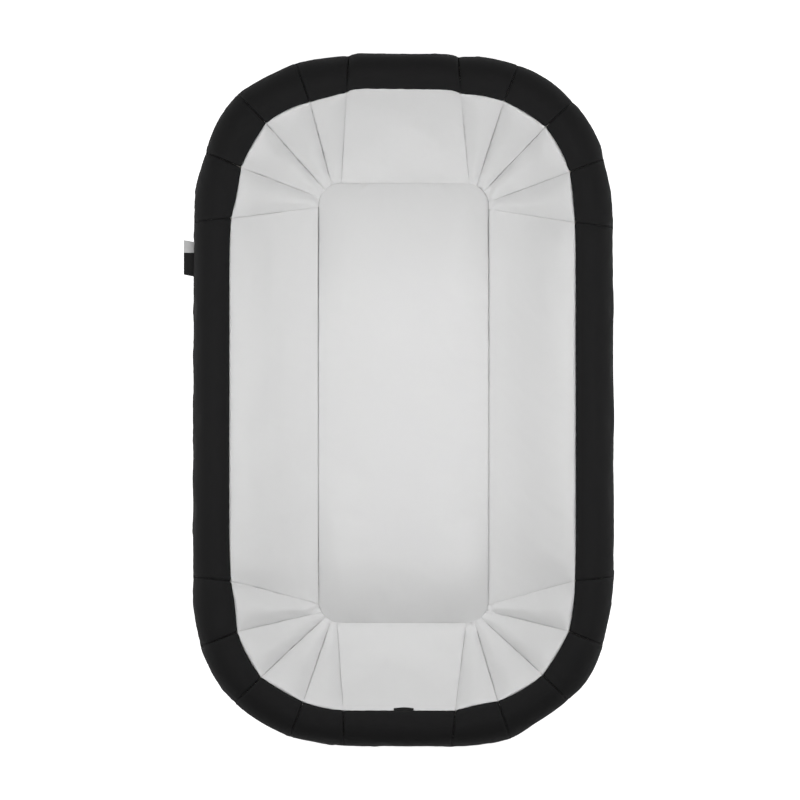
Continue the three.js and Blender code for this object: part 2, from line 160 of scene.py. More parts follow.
def ring_outline(corner, degrees, level, beyond):
    angle = np.radians(degrees)
    radius = (RIM_RADIUS if level == "rim" else EDGE_RADIUS) + beyond * MM
    x = CORNER_X + radius * np.cos(angle)
    y = CORNER_Y + radius * np.sin(angle)
    return np.stack([corner["x"] * x, corner["y"] * y], -1)


def seam_degrees(seam, level):
    corner, place = seam
    if level == "pad":
        return corner["pad"][place]
    return corner["rim"][place] + (EDGE_TURN[place] if level == "edge" else 0)


def is_straight(panel):
    return panel % SEAMS_PER_FAN == SEAMS_PER_FAN - 1


def panel_name(panel):
    fan, place = divmod(panel, SEAMS_PER_FAN)
    return STRAIGHT_NAMES[fan] if is_straight(panel) else f"{CORNERS[fan]['name']}_{place + 1}"


def outline(panel, level, share):
    """Points along one panel's edge at the pad, the rim seam or the edge seam."""
    share = np.asarray(share, float)
    (corner, start), (last_corner, end) = SEAMS[panel % len(SEAMS)], SEAMS[(panel + 1) % len(SEAMS)]
    from_degrees = seam_degrees((corner, start), level)
    to_degrees = seam_degrees((last_corner, end), level)
    if not is_straight(panel):
        degrees = lerp(from_degrees, to_degrees, share)
        if level == "pad":
            return pad_outline(corner, degrees)
        out, bulge = corner[f"{level}_out"], corner[f"{level}_bulge"][min(start, end)]
        beyond = lerp(out[start], out[end], share) + bulge * np.sin(share * math.pi)
        return ring_outline(corner, degrees, level, beyond)
    if level == "pad":
        first = pad_outline(corner, np.array([from_degrees]))
        last = pad_outline(last_corner, np.array([to_degrees]))
        return lerp(first, last, share[:, None])
    first = ring_outline(corner, from_degrees, level, corner[f"{level}_out"][start])
    last = ring_outline(last_corner, to_degrees, level, last_corner[f"{level}_out"][end])
    along = (last - first) / np.linalg.norm(last - first)
    outward = np.array([along[1], -along[0]])
    swell = SWELL[panel_name(panel)][level] * pillow(share, SWELL_POWER)
    return lerp(first, last, share[:, None]) + outward * swell[:, None]


def plan(panel, share, out):
    """A grid in plan of shares along a panel and distances outward from the floor pad's outline."""
    share, out = np.asarray(share, float), np.asarray(out, float)
    inner = np.clip(out / WALL_WIDTH, 0, 1)[None, :, None]
    outer = np.clip((out - WALL_WIDTH) / RIM_WIDTH, 0, 1)[None, :, None]

    def spread(shares):
        pad, rim, edge = (outline(panel, level, shares)[:, None] for level in LEVELS)
        return pad + (rim - pad) * inner + (edge - rim) * outer

    grid, first, last = (spread(shares) for shares in (share, np.zeros(1), np.ones(1)))
    width = np.linalg.norm(last - first, axis=-1, keepdims=True)
    along = (last - first) / width
    grid = grid + along * (CLOSE / 2 * (1 - 2 * share))[:, None, None]
    return grid, width[0, :, 0]


def at_height(grid, height):
    """Points in plan, set at their heights."""
    return np.concatenate([grid, np.broadcast_to(height, grid.shape[:-1])[..., None]], -1)


def pillow(share, power=4):
    """1 along the middle of a panel, falling to 0 at both its ends."""
    return 1 - np.abs(2 * share - 1) ** power


# Distances from a seam, in mm, at which the fine grids have points
SEAM_STEPS = (0.12, 0.35, 0.75, 1.3, 2.1, 3.2, 4.8, 7.2)
# The most of a panel's width that each of its seams may shape
SEAM_SHARE = 0.3


def graded(length, step):
    """Shares of a length, close together at both ends, where the cloth rolls into its seams."""
    fine = [value * MM for value in SEAM_STEPS if value * MM < SEAM_SHARE * length]
    near = np.array([0.0, *fine])
    middle = length - 2 * near[-1]
    count = max(int(round(middle / step)), 2)
    between = near[-1] + middle * np.arange(1, count) / count
    return np.concatenate([near, between, length - near[::-1]]) / length


rng = np.random.default_rng(7)
RIPPLE_SPREAD = (0.6, 1.7)


def ripples(scale, count=9):
    """A smooth random surface of about unit height, the same each run."""
    angles = rng.uniform(0, 2 * math.pi, count)
    lengths = scale * rng.uniform(*RIPPLE_SPREAD, count)
    phases = rng.uniform(0, 2 * math.pi, count)
    waves = 2 * math.pi / lengths

    def height(x, y):
        total = 0
        for angle, wave, phase in zip(angles, waves, phases):
            total = total + np.sin(wave * (x * np.cos(angle) + y * np.sin(angle)) + phase)
        return total / math.sqrt(count / 2)

    return height


broad = ripples(95 * MM)
small = ripples(26 * MM)
tiny = ripples(11 * MM)

# How deep the cloth dips at a seam, for the width of its roll
ROLL_DEPTH = 0.26


def roll(distance, radius):
    """How far the cloth dips towards a seam."""
    return ROLL_DEPTH * radius * np.clip(1 - distance / radius, 0, 1) ** 2


def normals(grid):
    across = np.gradient(grid, axis=0)
    outward = np.gradient(grid, axis=1)
    normal = np.cross(outward, across)
    length = np.linalg.norm(normal, axis=-1, keepdims=True)
    return normal / np.maximum(length, TINY)


# Every padded top is first a coarse even grid. One cloth simulation inflates them all together
# between their pinned seams, and what it adds, up to a cap, is carried over to the fine grids.
sheets = {}
COARSE = 5 * MM
LEAST_CELLS = 8
SWELL_CAP = 5.5 * MM
FRAMES = 20
CLOTH = {
    "quality": 5,
    "mass": 0.3,
    "tension_stiffness": 20,
    "compression_stiffness": 20,
    "shear_stiffness": 12,
    "bending_stiffness": 30,
    "air_damping": 4,
    "shrink_min": -0.002,
    "use_pressure": True,
    "uniform_pressure_force": 1.2,
}


def add_sheet(name, surface, width, length, strength=1.0):
    across, along = (max(int(round(size / COARSE)), LEAST_CELLS) for size in (width, length))
    sheets[name] = {
        "surface": surface,
        "width": width,
        "grid": surface(np.arange(across + 1) / across, np.arange(along + 1) / along),
        "strength": strength,
        "moved": None,
    }


def grid_faces(columns, rows, start=0):
    i, j = np.meshgrid(np.arange(columns - 1), np.arange(rows - 1), indexing="ij")
    a = start + i * rows + j
    return np.stack([a, a + 1, a + rows + 1, a + rows], -1).reshape(-1, 4)


def add_object(name, data):
    obj = bpy.data.objects.new(name, data)
    bpy.context.scene.collection.objects.link(obj)
    return obj


def make_mesh(name, points, faces):
    mesh = bpy.data.meshes.new(name)
    mesh.from_pydata(points.tolist(), [], faces.tolist() if hasattr(faces, "tolist") else faces)
    return add_object(name, mesh)


def inflate():
    """Runs the cloth simulation on all the sheets and keeps how far each of their points moved."""
    points, faces, pinned = [], [], []
    start = 0
    for sheet in sheets.values():
        grid = sheet["grid"]
        columns, rows = grid.shape[:2]
        points.append(grid.reshape(-1, 3))
        faces.append(grid_faces(columns, rows, start))
        edge = np.ones((columns, rows), bool)
        edge[1:-1, 1:-1] = False
        pinned.append(edge.ravel())
        sheet["start"] = start
        start += columns * rows
    points, faces, pinned = np.concatenate(points), np.concatenate(faces), np.concatenate(pinned)
    obj = make_mesh("inflating_tops", points, faces)
    group = obj.vertex_groups.new(name="seams")
    group.add(np.nonzero(pinned)[0].tolist(), 1.0, "REPLACE")
    cloth = obj.modifiers.new("inflate", "CLOTH")
    for key, value in CLOTH.items():
        setattr(cloth.settings, key, value)
    cloth.settings.vertex_group_mass = group.name
    cloth.settings.effector_weights.gravity = 0
    cloth.collision_settings.use_collision = False
    cloth.point_cache.frame_start, cloth.point_cache.frame_end = 1, FRAMES
    scene = bpy.context.scene
    for step in range(1, FRAMES + 1):
        scene.frame_set(step)
    evaluated = obj.evaluated_get(bpy.context.evaluated_depsgraph_get())
    moved = np.zeros(len(points) * 3, np.float32)
    evaluated.data.vertices.foreach_get("co", moved)
    moved = moved.reshape(-1, 3).astype(float) - points
    bpy.data.objects.remove(obj)
    scene.frame_set(1)
    size = np.linalg.norm(moved, axis=1, keepdims=True)
    print("inflate: moved up to", round(float(size.max()) / MM, 2), "mm")
    moved = moved * np.tanh(size / SWELL_CAP) * SWELL_CAP / np.maximum(size, TINY)
    for sheet in sheets.values():
        columns, rows = sheet["grid"].shape[:2]
        part = moved[sheet["start"] : sheet["start"] + columns * rows]
        sheet["moved"] = part.reshape(columns, rows, 3) * sheet["strength"]


def cubic_weights(count, shares):
    """Rows of weights that interpolate smoothly between evenly spaced values."""
    weights = np.zeros((len(shares), count))
    place = np.clip(np.asarray(shares) * (count - 1), 0, count - 1 - 1e-9)
    base = np.floor(place).astype(int)
    t = place - base
    parts = [
        -0.5 * t + t**2 - 0.5 * t**3,
        1 - 2.5 * t**2 + 1.5 * t**3,
        0.5 * t + 2 * t**2 - 1.5 * t**3,
        -0.5 * t**2 + 0.5 * t**3,
    ]
    for offset, part in enumerate(parts):
        column = np.clip(base + offset - 1, 0, count - 1)
        np.add.at(weights, (np.arange(len(shares)), column), part)
    return weights


def swollen(name, shares, rows):
    """The sheet's surface at these shares and rows, with what the simulation added."""
    sheet = sheets[name]
    grid = sheet["surface"](shares, rows)
    if sheet["moved"] is not None:
        columns, lines = sheet["grid"].shape[:2]
        across = cubic_weights(columns, shares)
        along = cubic_weights(lines, rows)
        grid = grid + np.einsum("ia,jb,abk->ijk", across, along, sheet["moved"])
    return grid


def closed_piece(name, top, bottom, weave, body="cover"):
    """A closed body between two surfaces. The weave gives each grid point's place in its cloth."""
    columns, rows = top.shape[:2]
    count = columns * rows
    points = np.concatenate([top.reshape(-1, 3), bottom.reshape(-1, 3)])
    upper = grid_faces(columns, rows)
    faces = [upper, grid_faces(columns, rows, count)[:, ::-1]]
    index = np.arange(count).reshape(columns, rows)
    edges = [index[:, 0], index[-1, :], index[::-1, -1], index[0, ::-1]]
    for edge in edges:
        a, b = edge[:-1], edge[1:]
        faces.append(np.stack([a, b, b + count, a + count], -1))
    obj = make_mesh(name, points, np.concatenate(faces))
    finish_mesh(obj, np.concatenate([weave.reshape(-1, 2)] * 2))
    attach(obj, body)
    return obj


def finish_mesh(obj, weave):
    mesh = obj.data
    attribute = mesh.attributes.new("weave", "FLOAT_VECTOR", "POINT")
    flat = np.zeros((len(mesh.vertices), 3), np.float32)
    flat[:, :2] = weave
    attribute.data.foreach_set("vector", flat.ravel())
    work = bmesh.new()
    work.from_mesh(mesh)
    bmesh.ops.recalc_face_normals(work, faces=work.faces)
    work.to_mesh(mesh)
    work.free()
    mesh.polygons.foreach_set("use_smooth", [True] * len(mesh.polygons))
    mesh.update()


def weave_grid(grid):
    """Lengths along a grid's two directions, in metres, so that the knit follows the cut."""
    across = np.linalg.norm(np.diff(grid, axis=0), axis=-1)
    outward = np.linalg.norm(np.diff(grid, axis=1), axis=-1)
    u = np.concatenate([np.zeros((1, grid.shape[1])), np.cumsum(across, axis=0)])
    v = np.concatenate([np.zeros((grid.shape[0], 1)), np.cumsum(outward, axis=1)], axis=1)
    u = u - u[-1:] / 2
    return np.stack([u, v], -1)


# Wall pads and wedges
WALL_SLOPE = math.hypot(WALL_WIDTH, RIM_SEAM - FLOOR_SEAM)
# How high each wedge of a fan puffs up for its width, from its side wedge to its end wedge, and how
# far its crest leans towards the end wall
WEDGE_CROWNS = (0.16, 0.18, 0.21, 0.22)
WEDGE_LEAN = 0.2
# How hollow the walls are, at the sides and at the ends
SIDE_BOWL, END_BOWL = 0.4, 0.85
# How high each straight wall pad is padded up at its two ends, counter-clockwise, in mm, and how
# far from its end seams and how steeply it falls away
WALL_CROWNS = {"head": (3, 3), "left": (4, 10), "foot": (3, 3), "right": (11, 11)}
WALL_FALL = {"head": 34 * MM, "left": 42 * MM, "foot": 34 * MM, "right": 72 * MM}
WALL_FALL_POWER = 2.5


def seam_lift(y):
    """The floor pad's seams ride a little higher along its sides than at its ends."""
    middle = 1 - np.clip(np.abs(y - PAD_SHIFT) / PAD_HALF_LENGTH, 0, 1) ** 4
    return lerp(-END_DROP, SIDE_LIFT, middle)


def wall_height(out, bowl=END_BOWL):
    """The walls start nearly level at the floor pad and steepen towards the rim."""
    share = out / WALL_WIDTH
    return lerp(FLOOR_SEAM, RIM_SEAM, share * (1 - bowl + bowl * share))


def wall_level(panel, shares, out):
    """The height of the seams' level across a panel, before it is padded up."""
    pad, rim = outline(panel, "pad", shares), outline(panel, "rim", shares)
    reach = np.abs(rim - pad)
    endwise = (reach[:, 1] / (reach[:, 0] + reach[:, 1]))[:, None]
    level = wall_height(out[None, :], lerp(SIDE_BOWL, END_BOWL, endwise))
    return level + seam_lift(pad[:, 1])[:, None] * (1 - out[None, :] / WALL_WIDTH)


def wall_out(row):
    return lerp(CLOSE, WALL_WIDTH - CLOSE / 2, row)


def wall_crown(panel, shares, width):
    """How far a panel is padded up at each of its shares and widths. A wedge rises steeply from its
    seam on the end wall's side and falls gently to its other seam."""
    if not is_straight(panel):
        corner = CORNERS[panel // SEAMS_PER_FAN]
        across = (1 - shares if corner["x"] * corner["y"] > 0 else shares)[:, None]
        puff = 4 * across * (1 - across) * (1 + WEDGE_LEAN * (1 - 2 * across))
        return WEDGE_CROWNS[min(SEAMS[panel][1], SEAMS[panel + 1][1])] * width[None, :] * puff
    name = panel_name(panel)
    start, end = (value * MM for value in WALL_CROWNS[name])
    fall = 0
    for share in (shares, 1 - shares):
        near = 1 - share[:, None] * width[None, :] / WALL_FALL[name]
        fall = fall + np.clip(near, 0, 1) ** WALL_FALL_POWER
    return lerp(start, end, shares)[:, None] * (1 - fall)


def wall_fill(panel, rows):
    """How the padding is spread from the floor pad to the rim. A side wall is fullest near it."""
    if panel_name(panel) in SIDE_NAMES:
        return 2 * rows**1.5 * (1 - rows**4)
    return pillow(rows)


def wall_surface(panel):
    def surface(shares, rows):
        shares = np.asarray(shares, float)
        out = wall_out(rows)
        grid, width = plan(panel, shares, out)
        lift = wall_crown(panel, shares, width) * wall_fill(panel, rows)[None, :]
        return at_height(grid, wall_level(panel, shares, out) + lift)

    return surface


def rim_section(turn):
    """Places and normals on the rim's section: a quarter of an ellipse on each side of its top."""
    outer = turn <= math.pi / 2
    reach = np.where(outer, RIM_WIDTH - RIM_TOP_INSET, RIM_TOP_INSET)
    foot = np.where(outer, EDGE_SEAM, RIM_SEAM)
    rise = RIM_TOP - foot
    place = np.stack([RIM_TOP_INSET + reach * np.cos(turn), foot + rise * np.sin(turn)], -1)
    normal = np.stack([rise * np.cos(turn), reach * np.sin(turn)], -1)
    return place, normal / np.linalg.norm(normal, axis=-1, keepdims=True)


# Turns of the rim's section at even steps along its arc, from the rim seam to the edge seam
ARC_POINTS = 400
fine_turns = np.linspace(math.pi, 0, ARC_POINTS)
steps = np.linalg.norm(np.diff(rim_section(fine_turns)[0], axis=0), axis=1)
arc = np.concatenate([[0], np.cumsum(steps)])
RIM_ARC = arc[-1]


def rim_turn(row):
    return np.interp(np.asarray(row) * RIM_ARC, arc, fine_turns)


def rim_point_grid(panel, shares, turn, lift):
    """The rim's surface, moved off its section along the section's normal by lift."""
    place, normal = rim_section(turn)
    grid = plan(panel, shares, WALL_WIDTH + CLOSE / 2 + place[:, 0])[0]
    ahead, behind = (plan(panel, shares, [out])[0] for out in (WALL_WIDTH + RIM_WIDTH, WALL_WIDTH))
    outward = ahead - behind
    outward = outward / np.linalg.norm(outward, axis=-1, keepdims=True)
    moved = grid + outward * (normal[:, 0] * lift)[..., None]
    return at_height(moved, place[:, 1] + normal[:, 1] * lift)


# The part of the rim's puff that is there before the simulation
RIM_SWELL = 0.6 * RIM_PUFF


def rim_surface(panel):
    def surface(shares, rows):
        turn = rim_turn(rows)
        lift = RIM_SWELL * np.sin(turn)[None, :] * pillow(shares)[:, None]
        return rim_point_grid(panel, shares, turn, lift)

    return surface


# How far the floor pad's cloth keeps inside the pad's outline
PAD_DRAW = 0.03 * MM


def pad_half_width(y):
    """Half the floor pad's width at a distance along it, where its corners round off."""
    beyond = np.clip(np.abs(y) - (PAD_HALF_LENGTH - PAD_RADIUS), 0, PAD_RADIUS)
    return PAD_HALF_WIDTH - PAD_RADIUS + np.sqrt(PAD_RADIUS**2 - beyond**2)


def fallen(distance, kind):
    """The share of the crown that is lost at a distance from a seam of the floor pad."""
    length, even = SHOULDERS[kind]
    far = np.clip(length - distance, 0, length - even) ** 2 / ((length - even) * (length + even))
    near = (length + even - 2 * distance) / (length + even)
    return np.where(distance < even, near, far)


def floor_surface(shares, rows):
    half_length = PAD_HALF_LENGTH - PAD_DRAW
    y = half_length * (2 * rows - 1)
    half_width = pad_half_width(y) - PAD_DRAW
    x = (2 * shares - 1)[:, None] * half_width[None, :]
    aside = (1 - np.abs(2 * shares - 1))[:, None] * half_width
    crown = FLOOR_TOP - FLOOR_SEAM + END_DROP
    side_crown = FLOOR_TOP - FLOOR_SEAM - seam_lift(y + PAD_SHIFT)
    at_side = fallen(aside, "side") * side_crown / crown
    at_end = np.where(y > 0, fallen(half_length - y, "head"), fallen(half_length + y, "foot"))
    height = FLOOR_TOP - crown * (1 - (1 - at_side) * (1 - at_end))
    y = np.broadcast_to(y[None, :], x.shape)
    return np.stack([-x, y + PAD_SHIFT, height], -1)


def mid_width(panel, out):
    return float(plan(panel, [0.0, 1.0], [out])[1][0])


# Where a wall panel's width is measured, as a share of the wall's width, and how much of the
# simulated swell the side walls and the rim take
MEASURED_AT = 0.75
SIDE_STRENGTH, RIM_STRENGTH = 0.4, 0.6

for panel in range(len(SEAMS)):
    name = panel_name(panel)
    wide = mid_width(panel, MEASURED_AT * WALL_WIDTH)
    strength = SIDE_STRENGTH if name in SIDE_NAMES else 1
    add_sheet(f"{name}_wall", wall_surface(panel), wide, WALL_SLOPE, strength)
    wide = mid_width(panel, WALL_WIDTH + RIM_WIDTH / 2)
    add_sheet(f"{name}_rim", rim_surface(panel), wide, RIM_ARC, RIM_STRENGTH)
add_sheet("floor", floor_surface, 2 * PAD_HALF_WIDTH, 2 * PAD_HALF_LENGTH)

inflate()

# Steps of the fine grids, and how far from a seam the grey and the black cloth roll into it
STEP = 3.2 * MM
LONG_STEP = 4 * MM
SEAM_ROLL = 2.6 * MM
BLACK_ROLL = 4.2 * MM
# How hard the seams are drawn in: soft ones, those of the side walls at the floor pad, those of the
# rim, and those of a fan from its side seam to its end seam
SOFT_SEAM = 0.3
SIDE_DRAW = 1.8
RIM_DRAWS = (1.6, 1.6)
SEAM_DRAW = (0.3, 0.4, 0.6, 0.7, 0.6)
# Puckers along the seams, and waves in the calm of a panel, away from its seams
PUCKER, PAD_PUCKER = 0.22 * MM, 0.2 * MM
PUCKER_REACH = 7 * MM
END_PUCKERS = 0.6
BROAD_WAVE, SMALL_WAVE = 0.3 * MM, 0.1 * MM
CALM = 12 * MM
PAD_CALM = 20 * MM
# Gathers where a fan's seams run together at the floor pad's corner
GATHER = 0.9 * MM
GATHER_REACH = 16 * MM
GATHER_SCALE = 1.4
# What sets each panel's own puckers apart from the next one's
WALL_SEED, RIM_SEED, FIRST_RIM_SEED = 0.37, 0.41, 5

grey_pieces, black_pieces, foam_pieces = [], [], []


def node_of(panel, kind):
    fan, place = divmod(panel, SEAMS_PER_FAN)
    if is_straight(panel):
        return f"{STRAIGHT_NAMES[fan]}_{'wall_pad' if kind == 'wedge' else kind}"
    return f"{CORNERS[fan]['name']}_{kind}_{place + 1}"


def seam_details(grid, shares, rows, width, length, seed, seam_roll, draws, at_pad=1.0):
    """How the cloth falls into its seams, and the puckers along them, as moves along the normal.
    The seams at a panel's two sides are drawn in by draws, and the one at its start by at_pad."""
    first, last = shares[:, None] * width[None, :], (1 - shares)[:, None] * width[None, :]
    side = np.minimum(first, last)
    end = np.minimum(rows, 1 - rows)[None, :] * length
    radius = np.minimum(seam_roll, SEAM_SHARE * width)[None, :]
    drop = draws[0] * roll(first, radius) + draws[1] * roll(last, radius)
    drop = drop + np.where(rows < 0.5, at_pad, 1.0)[None, :] * roll(end, seam_roll)
    x, y, slope = grid[..., 0], grid[..., 1], grid[..., 2]
    pull = np.exp(-side / PUCKER_REACH) + END_PUCKERS * np.exp(-end / PUCKER_REACH)
    pucker = PUCKER * pull * tiny(x + slope + seed, y + seed)
    wave = BROAD_WAVE * broad(x + seed, y + slope) + SMALL_WAVE * small(x, y + slope + seed)
    return -drop + pucker + wave * np.clip(np.minimum(side, end) / CALM, 0, 1)


def add_panel(node, grid, detail, under, weave, pieces):
    top = grid + normals(grid) * detail[..., None]
    piece = closed_piece(f"{node}_cloth", top, under, weave)
    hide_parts(node)
    pieces.append(piece)
    return piece


def add_wall(panel):
    name, straight = panel_name(panel), is_straight(panel)
    shares = graded(sheets[f"{name}_wall"]["width"], LONG_STEP if straight else STEP)
    rows = graded(WALL_SLOPE, STEP)
    grid = swollen(f"{name}_wall", shares, rows)
    width = plan(panel, [0.0, 1.0], wall_out(rows))[1]
    draws = [SEAM_DRAW[SEAMS[number % len(SEAMS)][1]] for number in (panel, panel + 1)]
    at_pad = SIDE_DRAW if name in SIDE_NAMES else SOFT_SEAM if straight else 0.0
    detail = seam_details(
        grid, shares, rows, width, WALL_SLOPE, WALL_SEED * panel, SEAM_ROLL, draws, at_pad
    )
    if not straight:
        near = np.exp(-rows[None, :] * WALL_SLOPE / GATHER_REACH) * pillow(shares, 2)[:, None]
        gathers = small(grid[..., 0] * GATHER_SCALE, grid[..., 1] * GATHER_SCALE)
        detail = detail + GATHER * near * gathers
    under = wall_surface(panel)(shares, rows)
    under[..., 2] = wall_level(panel, shares, wall_out(rows)) - WALL_UNDER
    add_panel(node_of(panel, "wedge"), grid, detail, under, weave_grid(grid), grey_pieces)


def add_rim(panel):
    name = panel_name(panel)
    shares = graded(sheets[f"{name}_rim"]["width"], LONG_STEP if is_straight(panel) else STEP)
    rows = graded(RIM_ARC, STEP)
    grid = swollen(f"{name}_rim", shares, rows)
    turn = rim_turn(rows)
    width = plan(panel, [0.0, 1.0], WALL_WIDTH + rim_section(turn)[0][:, 0])[1]
    seed = FIRST_RIM_SEED + RIM_SEED * panel
    detail = seam_details(grid, shares, rows, width, RIM_ARC, seed, BLACK_ROLL, RIM_DRAWS)
    under = rim_point_grid(panel, shares, turn, np.full(grid.shape[:2], -RIM_THICKNESS))
    add_panel(node_of(panel, "rim"), grid, detail, under, weave_grid(grid), black_pieces)


def add_floor_pad():
    shares = graded(2 * PAD_HALF_WIDTH, STEP)
    rows = graded(2 * PAD_HALF_LENGTH, LONG_STEP)
    grid = swollen("floor", shares, rows)
    x, y = grid[..., 0], grid[..., 1] - PAD_SHIFT
    out_x = np.abs(x) - (PAD_HALF_WIDTH - PAD_RADIUS)
    out_y = np.abs(y) - (PAD_HALF_LENGTH - PAD_RADIUS)
    inside = PAD_RADIUS - np.hypot(np.maximum(out_x, 0), np.maximum(out_y, 0))
    inside = inside - np.minimum(np.maximum(out_x, out_y), 0)
    inside = np.maximum(inside - PAD_DRAW, 0)
    # The seam is drawn in along the sides and hardly at the ends
    along_side, along_end = (np.clip(-out / PAD_CALM, 0, 1) for out in (out_y, out_x))
    drawn = np.minimum(along_side + SOFT_SEAM * along_end, 1)
    detail = -drawn * roll(inside, SEAM_ROLL)
    detail = detail + PAD_PUCKER * np.exp(-inside / PUCKER_REACH) * tiny(x, y)
    detail = detail + BROAD_WAVE * broad(x, y) * np.clip(inside / PAD_CALM, 0, 1)
    under = floor_surface(shares, rows)
    under[..., 2] = FLOOR_UNDER
    return add_panel("floor_pad", grid, detail, under, np.stack([x, y], -1), grey_pieces)


for panel in range(len(SEAMS)):
    add_wall(panel)
    add_rim(panel)
floor_cloth = add_floor_pad()

# Skirts, with a channel along the top of the right one, where the zip lies
SKIRT_STEP = 3.5 * MM
SKIRT_ROLL = 1.8 * MM
SKIRT_BULGE = 1.6 * MM
SKIRT_WAVES = (0.5 * MM, 0.25 * MM)
SKIRT_STRETCH = 2
SKIRT_CALM = 8 * MM
CHANNEL_HALF = high("zip_tape").y + 19.3 * MM
CHANNEL_BOTTOM = EDGE_SEAM - 16 * MM
NORMAL_PASSES = 4


def skirt_drop(height):
    """How far a skirt has leant in at a height."""
    return SKIRT_INSET * ((EDGE_SEAM - height) / EDGE_SEAM) ** 2


def edge_walk(first, last):
    """Points along the edge seam, from the first panel to the one before the last."""
    walk = []
    for panel in range(first, last):
        length = mid_width(panel, WALL_WIDTH + RIM_WIDTH)
        count = max(int(round(length / LONG_STEP)), 4)
        share = np.arange(count + (panel == last - 1)) / count
        walk.append(outline(panel, "edge", share))
    return np.concatenate(walk)


def walk_normals(points):
    """Outward ways in plan along a walk, smoothed over its corners."""
    along = np.gradient(points, axis=0)
    along /= np.linalg.norm(along, axis=1, keepdims=True)
    smooth = along.copy()
    for _ in range(NORMAL_PASSES):
        smooth[1:-1] = (smooth[:-2] + 2 * smooth[1:-1] + smooth[2:]) / 4
    smooth /= np.linalg.norm(smooth, axis=1, keepdims=True)
    return np.stack([smooth[:, 1], -smooth[:, 0]], -1)


def add_skirt(name, straight_panel, channel=False):
    half = SEAMS_PER_FAN // 2
    points = edge_walk(straight_panel - half, straight_panel + half + 1)
    if channel:
        # Two points at each end of the channel, so that it ends square
        marks = [sign * (CHANNEL_HALF + inset) for sign in (-1, 1) for inset in (0, GAP)]
        extra = np.stack([np.interp(marks, points[:, 1], points[:, 0]), marks], -1)
        points = np.concatenate([points, extra])
        points = points[np.argsort(points[:, 1])]
    outward = walk_normals(points)
    along = np.concatenate([[0], np.cumsum(np.linalg.norm(np.diff(points, axis=0), axis=1))])
    top_height = np.full(len(points), EDGE_SEAM - GAP)
    if channel:
        top_height[np.abs(points[:, 1]) <= CHANNEL_HALF + GAP / 3] = CHANNEL_BOTTOM
    rows = graded(EDGE_SEAM - GAP - COVER_FLOOR, SKIRT_STEP)
    height = lerp(top_height[:, None], COVER_FLOOR, rows[None, :])
    drop = skirt_drop(height)
    edge = np.minimum(top_height[:, None] - height, height - COVER_FLOOR)
    ends = np.minimum(along, along[-1] - along)[:, None]
    fall = roll(edge, SKIRT_ROLL) + roll(ends, SKIRT_ROLL)
    bulge = SKIRT_BULGE * pillow((height - COVER_FLOOR) / (EDGE_SEAM - COVER_FLOOR), 2)
    stretched = along[:, None] * SKIRT_STRETCH
    wave = SKIRT_WAVES[0] * broad(stretched, height) + SKIRT_WAVES[1] * small(stretched, height)
    wave = wave * np.clip(edge / SKIRT_CALM, 0, 1)
    shift = drop + fall - bulge - wave
    top, under = (
        at_height(points[:, None] - outward[:, None] * inward[..., None], height)
        for inward in (shift, drop + SKIRT_THICKNESS)
    )
    weave = np.stack([along[:, None] + 0 * height, height], -1)
    piece = closed_piece(f"{name}_cloth", top, under, weave)
    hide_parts(name)
    black_pieces.append(piece)


add_skirt("head_skirt", 4)
add_skirt("left_skirt", 9)
add_skirt("foot_skirt", 14)
add_skirt("right_skirt", 19, channel=True)


# Base panel: rings from the flat underside up round its edge to its top
CORNER_POINTS = 40


def oblong(half_width, half_length, radius):
    points = []
    for turn, corner in enumerate(CORNERS):
        angle = (turn + np.arange(CORNER_POINTS) / (CORNER_POINTS - 1)) * math.pi / 2
        x = corner["x"] * (half_width - radius) + radius * np.cos(angle)
        y = corner["y"] * (half_length - radius) + radius * np.sin(angle)
        points.append(np.stack([x, y], -1))
    return np.concatenate(points)


def stacked_rings(name, rings, body="cover", middle=0):
    """A closed body through rings of (half width, half length, radius, height), bottom to top."""
    count = len(CORNERS) * CORNER_POINTS
    loops = [at_height(oblong(*sizes), height) for *sizes, height in rings]
    points = np.concatenate(loops) + np.array([0, middle, 0])
    faces = []
    for level in range(len(loops) - 1):
        below, above = level * count, (level + 1) * count
        for i in range(count):
            j = (i + 1) % count
            faces.append([below + i, below + j, above + j, above + i])
    faces.append(list(range(count))[::-1])
    faces.append([(len(loops) - 1) * count + i for i in range(count)])
    obj = make_mesh(name, points, faces)
    finish_mesh(obj, points[:, :2])
    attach(obj, body)
    return obj


# The base panel's first ring, the rounds of its edges, and how much longer it is than the skirts
BASE_INNER = 40 * MM
BASE_ROUND = 3 * MM
TOP_ROUND = 0.6 * MM
BASE_EXTRA = 0.5 * MM


def base_ring(inset, height):
    half_width = HALF_WIDTH - SKIRT_INSET - inset
    half_length = half_width + PAD_HALF_LENGTH - PAD_HALF_WIDTH + BASE_EXTRA
    return half_width, half_length, EDGE_RADIUS - SKIRT_INSET - inset, height


base_rings = [base_ring(BASE_INNER, 0), base_ring(BASE_ROUND, 0)]
for turn in np.radians([18, 36, 54, 72, 90]):
    inset, height = BASE_ROUND * (1 - math.sin(turn)), BASE_ROUND * (1 - math.cos(turn))
    base_rings.append(base_ring(inset, height))
for inset, fall in ((0, TOP_ROUND), (0.25 * MM, 0.1 * MM), (TOP_ROUND, 0)):
    base_rings.append(base_ring(inset, BASE_TOP - fall))
base_cloth = stacked_rings("base_panel_cloth", base_rings)
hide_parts("base_panel")
black_pieces.append(base_cloth)

